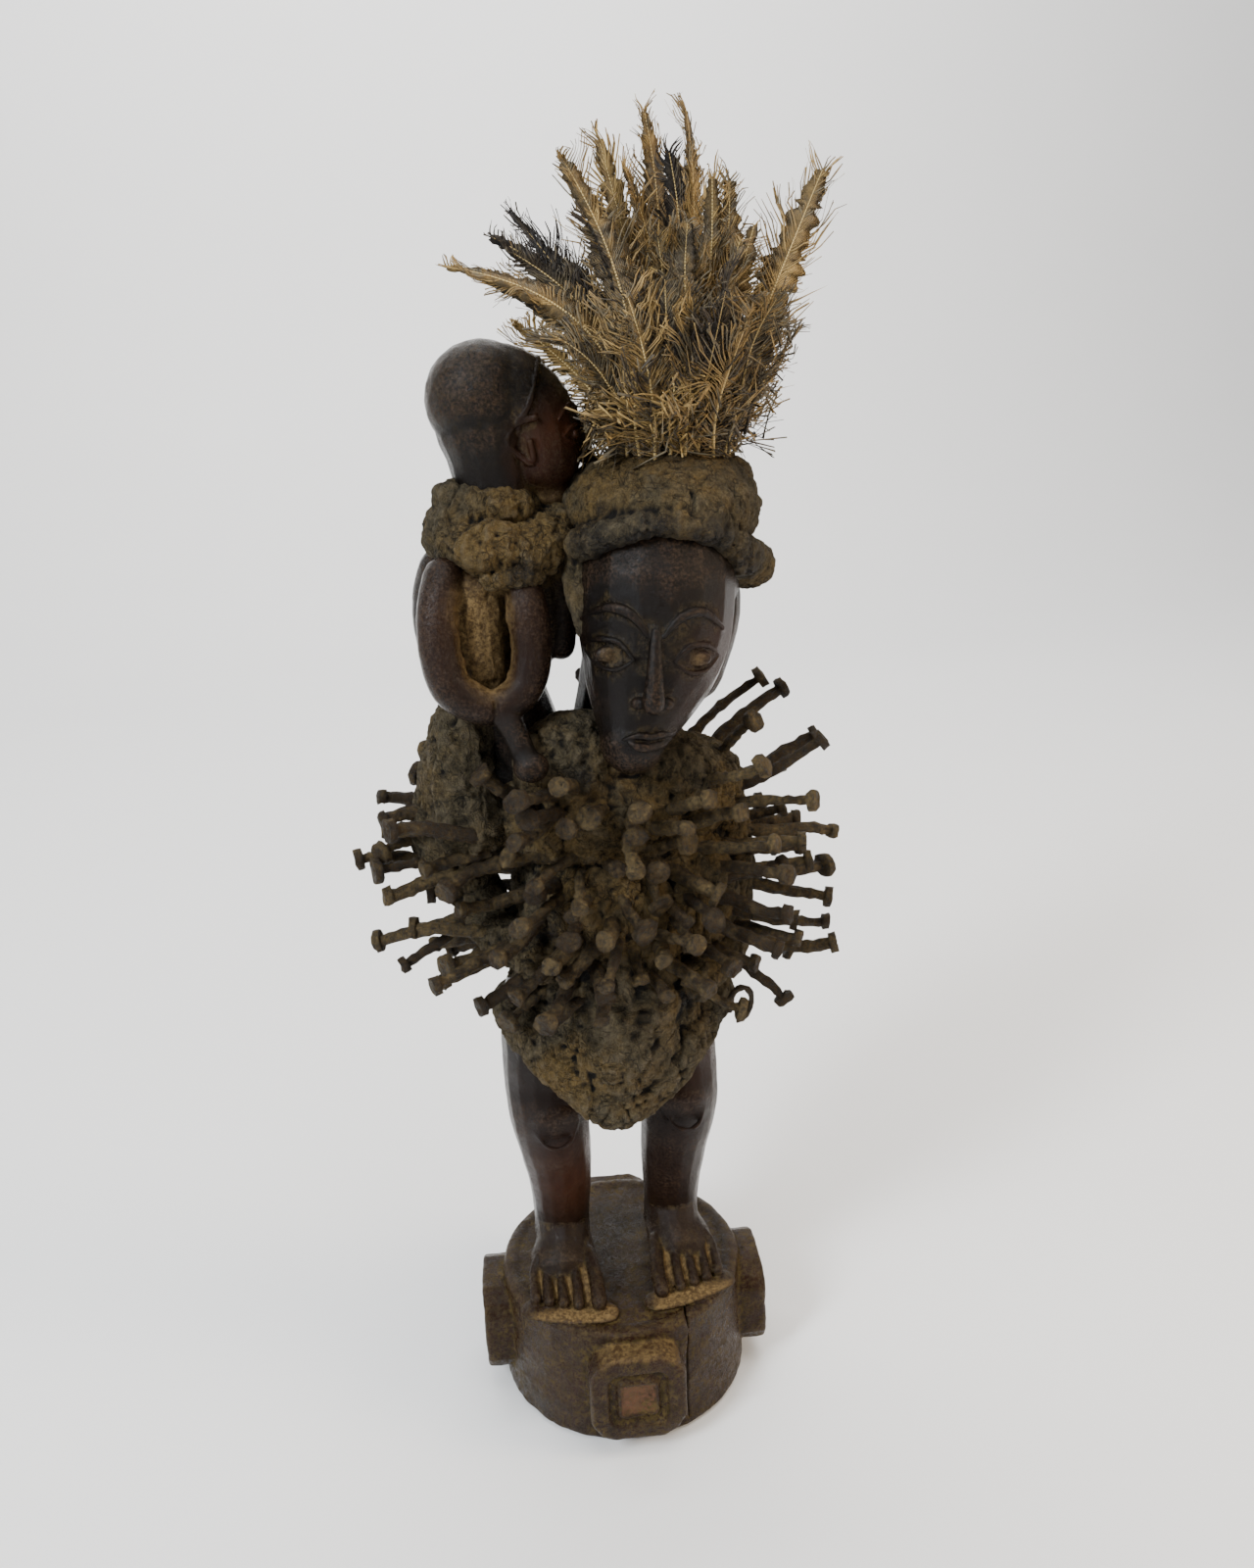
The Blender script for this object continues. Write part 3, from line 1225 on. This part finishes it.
def grown(mesh, tree, values):
    """The plain mesh that a Geometry Nodes tree makes on a mesh of lines."""
    made = add_object("growing", mesh)
    grow = made.modifiers.new("grow", "NODES")
    grow.node_group = tree
    sockets = {item.name: item.identifier for item in tree.interface.items_tree if item.in_out == "INPUT"}
    for label, value in values.items():
        grow[sockets[label]] = value
    return as_shaped(made)


def nail_lines(nails):
    """A slightly bent line for each nail, from its foot in the clay to its head, and how stout it is;
    the last line is a thin wire that loops out at the lower right."""
    draw = random.Random(11)
    courses, stout, tones, breadths = [], [], [], []
    for hit, ahead, length in nails:
        side = ahead.cross(UPWARD).normalized()
        lift = side.cross(ahead)
        bend = (side * draw.uniform(-1, 1) + lift * draw.uniform(-1, 1)) * 0.07 * length
        kink = (side * draw.uniform(-1, 1) + lift * draw.uniform(-1, 1)) * 0.03 * length
        thick = draw.uniform(0.62, 1.02)
        tone = draw.uniform(-0.1, 0.75)
        head = draw.uniform(0.72, 1.25)
        course = []
        for k in range(NAIL_STEPS + 1):
            share = k / NAIL_STEPS
            along = share * (length + NAIL_DEPTH) - NAIL_DEPTH
            place = hit + ahead * along + bend * (4 * share * (1 - share) - 0.6 * share)
            course.append(place + kink * math.sin(share * math.tau))
            stout.append(thick * (1.25 - 0.4 * share) * draw.uniform(0.92, 1.08))
            tones.append(tone)
            breadths.append(head)
        courses.append(course)
    loop = []
    for k in range(NAIL_STEPS + 1):
        a = math.radians(200 - 290 * k / NAIL_STEPS)
        loop.append(spot(56 + 5.2 * math.cos(a), -32 - 2 * math.sin(a), 152 + 9 * math.sin(a)))
        stout.append(0.36)
        tones.append(0.1)
        breadths.append(0.3)
    courses.append(loop)
    return lines_mesh(courses, stout=stout, tone=tones, breadth=breadths)


def swung(nail, draw):
    """The nail knocked shorter, and out of line with its neighbours."""
    hit, ahead, length = nail
    side = ahead.cross(UPWARD).normalized()
    swing = side * draw.uniform(-0.45, 0.45) + side.cross(ahead) * draw.uniform(-0.5, 0.3)
    return hit, (ahead + swing).normalized(), length * draw.uniform(0.45, 0.95)


# The feathers


# Root across and back, tip across, back and up, bow and width of each feather
FEATHERS = (
    (17, -16, -49, -20, 466, 22, 0.75),
    (18, -6, -23, -12, 471, 17, 0.9),
    (17, 8, -20, 8, 487, 14, 1.0),
    (22, -20, -5, -22, 503, 9, 1.0),
    (24, 12, -10, 24, 478, 10, 1.0),
    (26, -6, 12, -10, 510, 7, 1.1),
    (28, -22, 22, -30, 462, 4, 1.0),
    (31, 4, 33, 4, 522, 4, 1.1),
    (33, 20, 18, 34, 494, 6, 1.0),
    (37, -12, 45, -14, 519, 3, 1.1),
    (39, -26, 40, -32, 478, 2, 0.9),
    (42, 12, 52, 20, 504, 2, 1.0),
    (45, -4, 64, -6, 496, 0, 1.0),
    (48, 22, 62, 36, 474, -2, 0.9),
    (51, -20, 62, -26, 472, -3, 1.0),
    (54, 6, 78, 10, 470, -3, 0.8),
    (58, -12, 99, -14, 498, -4, 1.2),
    (62, 2, 84, 2, 442, -3, 0.8),
)
MORE_FEATHERS = (
    (20, -12, -36, -18, 462, 18, 0.7),
    (23, 2, -30, -2, 478, 16, 0.9),
    (27, -14, 2, -20, 488, 10, 0.9),
    (30, -8, 20, -16, 500, 6, 1.0),
    (35, 0, 40, -6, 506, 5, 1.0),
    (41, -18, 52, -24, 494, 3, 0.9),
    (47, -14, 70, -18, 478, -2, 0.9),
    (52, 14, 70, 22, 488, -2, 0.9),
    (60, -8, 82, -14, 446, -5, 0.9),
)
TALL_SHADES = (
    0.66, 0.45, 0.14, 0.66, 0.30, 0.72, 0.50, 0.62, 0.20, 0.70, 0.50, 0.36, 0.66, 0.30,
    0.66, 0.45, 0.84, 0.50, 0.50, 0.18, 0.38, 0.60, 0.24, 0.70, 0.74, 0.40, 0.74,
)
PLUMES = (
    (16, -20, -12, -34, 440, 8, 1.0),
    (20, -26, 6, -40, 446, 5, 1.0),
    (25, -30, 14, -44, 452, 3, 1.1),
    (31, -30, 28, -44, 458, 2, 1.1),
    (37, -30, 38, -44, 450, 1, 1.1),
    (43, -28, 52, -42, 456, -2, 1.1),
    (50, -26, 62, -38, 446, -4, 1.1),
    (56, -20, 76, -30, 452, -4, 1.0),
    (60, -14, 84, -18, 436, -4, 1.0),
    (15, 0, -22, 0, 446, 8, 1.0),
    (62, 6, 84, 14, 450, -4, 1.0),
    (24, 22, 4, 38, 450, 4, 1.1),
    (36, 26, 34, 42, 456, 2, 1.1),
    (50, 22, 62, 38, 448, -3, 1.1),
    (34, -14, 30, -26, 474, 2, 1.2),
    (46, -8, 54, -20, 470, -2, 1.2),
    (26, -4, 10, -14, 468, 4, 1.2),
)


def feather_lines(feathers, seed, shades):
    """The bent line of each quill, with its width and shade, and the way its turning blade lies."""
    draw = random.Random(seed)
    courses, acrosses, widths, tones, shares, numbers, strands = [], [], [], [], [], [], []
    for number, (x, y, tip_x, tip_y, tip_z, bow, width) in enumerate(feathers):
        root = spot(x, y, QUILL_FOOT)
        reach = spot(tip_x, tip_y, tip_z) - root
        heading = reach.normalized()
        facing = Quaternion(UPWARD, FEATHER_FAN * (y - tip_y + x - 40) / 40) @ BACKWARD
        flat = (facing - facing.dot(heading) * heading).normalized()
        across = flat.cross(heading)
        sway = (across * draw.uniform(-1, 1) + flat * draw.uniform(-1, 1)) * 2.5 * GRID
        shade = shades[number % len(shades)] + draw.uniform(-0.05, 0.05)
        twist = draw.uniform(-1.1, 1.1)
        course = []
        for k in range(FEATHER_STEPS + 1):
            along = k / FEATHER_STEPS * (reach.length + QUILL_DEPTH) - QUILL_DEPTH
            t = max(along / reach.length, 0)
            bowed = across * bow * GRID * 4 * t * (1 - t)
            course.append(root + heading * along + bowed + sway * math.sin(t * math.tau))
            shares.append(t)
            acrosses.append(tuple(Quaternion(heading, twist * t) @ across))
            strands.append(t * reach.length / (0.19 * MM))
            widths.append(width)
            tones.append(shade)
            numbers.append(number)
        courses.append(course)
    values = {"across": acrosses, "width": widths, "shade": tones, "share": shares, "number": numbers}
    return lines_mesh(courses, strand=strands, **values)


def feather_tree():
    """A quill along each line, a torn vane, and barbs on both sides of it that clump, fray and curl."""
    blade_sizes = ("Blade width", "Vane share", "Quill thickness")
    barb_sizes = ("Barb spacing", "Barb width", "Barb thickness", "Fray")
    wire = Growth("tattered feathers", blade_sizes + barb_sizes, "Feather")
    given = wire.given
    line = wire.add("GeometryNodeMeshToCurve", {"Mesh": given["Geometry"]})
    share = wire.named("share")
    across = wire.named("across", "FLOAT_VECTOR")
    taper = wire.times(given["Quill thickness"], wire.stretch(share, 0, 1, 1.0, 0.25))
    stem = wire.marked(wire.swept(line, wire.ring(6), taper), "quill", 1.0)

    filling_out = wire.stretch(share, 0.03, 0.22, 0.5, 1.0)
    drawing_in = wire.stretch(share, 1.0, 0.72, 0.32, 1.0)
    broad = wire.times(given["Blade width"], wire.named("width"), filling_out, drawing_in)
    vane = torn_vane(wire, line, share, across, wire.times(broad, given["Vane share"]))

    dots = {"Curve": line, "Length": given["Barb spacing"]}
    dots = wire.add("GeometryNodeCurveToPoints", dots, out=None, mode="LENGTH")
    pairs = {"Geometry": dots.outputs[0], "Amount": 2}
    pairs = wire.add("GeometryNodeDuplicateElements", pairs, out=None, domain="POINT")
    side = wire.math("MULTIPLY_ADD", pairs.outputs["Duplicate Index"], 2.0, -1.0)
    heading = dots.outputs["Tangent"]
    flat = wire.vector("CROSS_PRODUCT", heading, across)
    clump = wire.combined(wire.times(share, 14.0), wire.times(wire.named("number"), 7.3), side)
    rough = {"Vector": clump, "Scale": 1.0, "Detail": 3.0, "Roughness": 0.75}
    split = wire.math("SUBTRACT", wire.add("ShaderNodeTexNoise", rough), 0.5)
    loose = wire.stretch(share, 0.45, 0.10, 0.0, 1.0)
    angle = wire.plus(wire.stretch(share, 0.05, 1.0, 1.05, 0.55), wire.times(split, given["Fray"], 1.5))
    sideways = wire.scaled(across, wire.times(side, wire.math("SINE", angle)))
    forward = wire.scaled(heading, wire.math("COSINE", angle))
    leaning = wire.scaled(flat, wire.times(wire.drawn(-0.3, 0.3), wire.plus(loose, 0.35)))
    reach = wire.vector("ADD", wire.vector("ADD", sideways, forward), leaning)
    axes = {"Primary Axis": reach, "Secondary Axis": flat}
    turn = wire.add("FunctionNodeAxesToRotation", axes, primary_axis="X", secondary_axis="Z")
    uneven = wire.times(wire.drawn(0.75, 1.2), wire.math("MULTIPLY_ADD", split, 1.1, 1.0))
    length = wire.times(broad, 0.68, uneven, wire.math("MULTIPLY_ADD", loose, 0.45, 1.0))
    inputs = {
        "Points": wire.marked(pairs.outputs[0], "heading", heading, "FLOAT_VECTOR"),
        "Selection": wire.math("GREATER_THAN", share, 0.015),
        "Instance": barb_strip(wire),
        "Rotation": turn,
        "Scale": wire.combined(length, 1.0, 1.0),
    }
    barbs = wire.add("GeometryNodeInstanceOnPoints", inputs)

    outer = wire.math("POWER", wire.named("along"), 2.0)
    waves = {"Vector": wire.add("GeometryNodeInputPosition"), "Scale": 75.0, "Detail": 3.0}
    drift = wire.vector("SUBTRACT", wire.add("ShaderNodeTexNoise", waves, out="Color"), (0.5, 0.5, 0.5))
    swing = wire.times(outer, given["Fray"], wire.math("MULTIPLY_ADD", loose, 0.055, 0.045))
    sweep = wire.times(outer, broad, wire.stretch(loose, 0, 1, 0.12, -0.10))
    onward = wire.scaled(wire.named("heading", "FLOAT_VECTOR"), sweep)
    moved = wire.vector("ADD", wire.scaled(drift, swing), onward)
    curled = wire.add("GeometryNodeSetPosition", {"Geometry": wire.solid(barbs), "Offset": moved})
    return wire.finish(stem, vane, curled)


def torn_vane(wire, line, share, across, width):
    """A thin blade with a ragged edge, which knows how far out from the quill each place lies."""
    torn = wire.add("ShaderNodeTexNoise", {"Scale": 240.0, "Detail": 5.0, "Roughness": 0.85})
    torn = wire.times(wire.stretch(torn, 0.36, 0.58, 0.35, 1.0), wire.stretch(share, 0.06, 0.30, 0.1, 1.0))
    close = wire.add("GeometryNodeResampleCurve", {"Curve": line, "Count": 90})
    turned = wire.add("GeometryNodeSetCurveNormal", {"Curve": close, "Normal": across}, mode="FREE")
    place = {"Vector": wire.add("GeometryNodeInputPosition")}
    slip = wire.marked(wire.ring(4), "fin", wire.add("ShaderNodeSeparateXYZ", place, out="X"))
    slip = wire.add("GeometryNodeTransform", {"Geometry": slip, "Scale": (1.0, 0.02, 1.0)})
    return wire.swept(turned, slip, wire.times(width, torn))


def barb_strip(wire):
    """A thin strip from nought to one along x that narrows to its tip."""
    given = wire.given
    profile = wire.combined(1.0, given["Barb width"], given["Barb thickness"])
    strip = {"Size": profile, "Vertices X": 6, "Vertices Y": 2, "Vertices Z": 2}
    place = {"Vector": wire.add("GeometryNodeInputPosition")}
    apart = wire.add("ShaderNodeSeparateXYZ", place, out=None).outputs
    along = wire.plus(apart["X"], 0.5)
    thin = wire.math("SUBTRACT", 1.0, wire.times(wire.math("POWER", along, 2.0), 0.8))
    slim = wire.combined(along, wire.times(apart["Y"], thin), apart["Z"])
    strip = wire.marked(wire.add("GeometryNodeMeshCube", strip), "along", along)
    return wire.add("GeometryNodeSetPosition", {"Geometry": strip, "Position": slim})


# Making the pieces

wood, clay, iron, feather = wood_finish(), clay_finish(), iron_finish(), feather_finish()


def hand_over(name, mesh, finish, slot, *nodes):
    """Names a finished piece, gives it its finish and puts it in the place of its solids."""
    made = add_object(name, mesh)
    made.data.materials.clear()
    made.data.materials.append(finish)
    made.data.shade_smooth()
    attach(made, "root")
    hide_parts(*nodes)


def nodes_called(start):
    return [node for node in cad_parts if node.startswith(start)]


hand_over("carving", carving(), wood, "carved wood", "carved_figure")

pack = pack_mass()
all_nails = nails_on(pack)
loose, rest = share_out(all_nails)
knocks = random.Random(17)
short = [swung(nail, knocks) for seed in (21, 22, 23) for nail in nails_on(pack, seed)]
others = [swung(nail, knocks) if nail[1].y < -0.5 else nail for nail in all_nails if nail not in loose]
pack_mesh = clay_piece(
    thinned(melted(pack, 1.0), CRUST_TRIANGLES), 1.7, 0.9, 1.5, 2,
    ochres=(
        (spot(4, -48, 226), 50),
        (spot(58, -20, 240), 34),
        (spot(-26, -40, 256), 26),
        (spot(34, -44, 190), 34),
        (spot(-20, -40, 130), 30),
    ),
    resins=(
        (spot(-14, -42, 268), 9),
        (spot(8, -50, 238), 8),
        (spot(-30, -30, 200), 12),
        (spot(30, -40, 160), 9),
    ),
)
hand_over("torso_crust", pack_mesh, clay, "clay crust", "torso_pack")
cap_mesh = clay_piece(
    melted(cap_mass(), 1.0), 1.2, 0.9, 0.9, 4,
    ochres=((spot(30, -20, 396), 44), (spot(0, -30, 380), 26)),
    resins=(
        (spot(-2, -42, 364), 18),
        (spot(17, -56, 366), 14),
        (spot(42, -52, 362), 15),
        (spot(60, -36, 350), 15),
    ),
)
hand_over("cap_crust", cap_mesh, clay, "clay crust", "head_cap")
collar_mesh = clay_piece(
    melted(collar_mass(), 0.8), 2.4, 1.0, 1.0, 6,
    ochres=((spot(-34, -20, 362), 46),),
    resins=((spot(-30, -34, 352), 9),),
)
hand_over("collar_crust", collar_mesh, clay, "clay crust", "companion_collar")

kept = list(loose)
for nail in others + [n for n in short if n[0].y < 0.02]:
    if all(nails_apart(nail, other) > NAIL_THICKNESS for other in kept):
        kept.append(nail)
nail_sizes = {
    "Shank thickness": NAIL_THICKNESS,
    "Head width": NAIL_HEAD * 1.05,
    "Head thickness": 3.0 * MM,
    "Crust": 5.0 * MM,
    "Seed": 1,
    "Iron": iron,
}
nails = grown(nail_lines(kept), nail_tree(), nail_sizes)
store_hollows(nails, 6, 0.8)
hand_over("nails", nails, iron, "rusted iron", *nodes_called("nail_"))

feather_sizes = {
    "Blade width": FEATHER_WIDTH * 1.3,
    "Vane share": 0.72,
    "Barb spacing": 1.35 * MM * COARSE,
    "Barb width": 0.65 * MM,
    "Barb thickness": 0.2 * MM,
    "Quill thickness": 1.5 * MM,
    "Fray": 0.65,
    "Seed": 3,
    "Feather": feather,
}
tattered = feather_tree()
plumes = feather_lines(PLUMES, 9, (0.50, 0.62, 0.85, 0.36, 0.72, 0.30, 0.66))
softer = {"Vane share": 0.35, "Barb spacing": 0.75 * MM * COARSE, "Barb width": 0.5 * MM, "Fray": 1.0}
tall = feather_lines((*FEATHERS, *MORE_FEATHERS), 5, TALL_SHADES)
solid_feathers = nodes_called("feather_")
blades = grown(tall, tattered, feather_sizes)
hand_over("tall_feathers", blades, feather, "feather", *solid_feathers[:TALL_NODES])
down = grown(plumes, tattered, feather_sizes | softer)
hand_over("fluffy_plumes", down, feather, "feather", *solid_feathers[TALL_NODES:])


# Stage, light and camera


def stage():
    """A pale floor that sweeps up into a backdrop, in a softly lit room."""
    turns = np.linspace(0, math.pi / 2, 9)
    sweep = [(1.6 + 0.8 * math.sin(a), 0.8 * (1 - math.cos(a))) for a in turns]
    bm = bmesh.new()
    rows = [[bm.verts.new((x, y, z)) for x in (-4, 4)] for y, z in ((-4, 0), *sweep, (2.4, 4))]
    for low, high in zip(rows, rows[1:]):
        bm.faces.new((low[0], low[1], high[1], high[0]))
    floor = add_object("floor", from_bmesh(bm))
    floor.data.shade_smooth()
    paint = Finish("pale floor")
    tone = paint.noise(300, 2)
    pale = paint.blend(tone, (0.84, 0.84, 0.84), (0.87, 0.87, 0.87))
    floor.data.materials.append(paint.finish(pale, paint.stretch(tone, 0, 1, 0.6, 0.7)))
    world = bpy.data.worlds.new("pale room")
    bpy.context.scene.world = world
    world.use_nodes = True
    light = world.node_tree.nodes["Background"].inputs
    light["Color"].default_value = (1.0, 0.99, 0.97, 1)
    light["Strength"].default_value = 0.45


def lamp(name, place, size, power, colour, aim=(0, 0, 0.3)):
    """A soft rectangular lamp, turned towards the figure or another place."""
    light = bpy.data.lights.new(name, "AREA")
    light.shape = "RECTANGLE"
    light.size, light.size_y = size
    light.energy = power
    light.color = colour
    made = add_object(name, light)
    made.location = place
    made.rotation_euler = (Vector(aim) - made.location).to_track_quat("-Z", "Y").to_euler()


stage()
lamp("window", (-1.3, -1.0, 1.5), (0.4, 0.8), 52, (0.90, 0.95, 1.0))
lamp("ceiling", (0.3, -0.4, 2.2), (1.2, 1.2), 26, (1.0, 0.97, 0.92))
lamp("warm side", (1.5, -0.7, 0.9), (0.5, 1.0), 22, (1.0, 0.80, 0.58))
lamp("backdrop light", (0, 0.9, 2.2), (2.5, 0.6), 60, (1.0, 1.0, 1.0), (0, 2.4, 0.7))

# Where the camera stands, and how it is turned

CAMERA_PLACE = (-0.0814, -0.5141, 0.480)
CAMERA_AZIMUTH = math.radians(-9)
CAMERA_YAW = math.radians(1.5)
CAMERA_PITCH = math.radians(18)
CAMERA_ROLL = math.radians(2.5)
camera = bpy.data.cameras.new("camera")
camera.sensor_fit = "VERTICAL"
camera.sensor_height = 36
camera.lens = 28.1
camera.clip_start = 0.01
viewer = add_object("camera", camera)
forward = Vector((-math.sin(CAMERA_AZIMUTH), math.cos(CAMERA_AZIMUTH), 0))
forward = Matrix.Rotation(-CAMERA_YAW, 3, "Z") @ forward
level = Vector((forward.y, -forward.x, 0))
view = forward * math.cos(CAMERA_PITCH) - UPWARD * math.sin(CAMERA_PITCH)
upright = level.cross(view)
across = level * math.cos(CAMERA_ROLL) - upright * math.sin(CAMERA_ROLL)
above = upright * math.cos(CAMERA_ROLL) + level * math.sin(CAMERA_ROLL)
turned = Matrix((across, above, -view)).transposed()
viewer.matrix_world = Matrix.Translation(CAMERA_PLACE) @ turned.to_4x4()
bpy.context.scene.camera = viewer
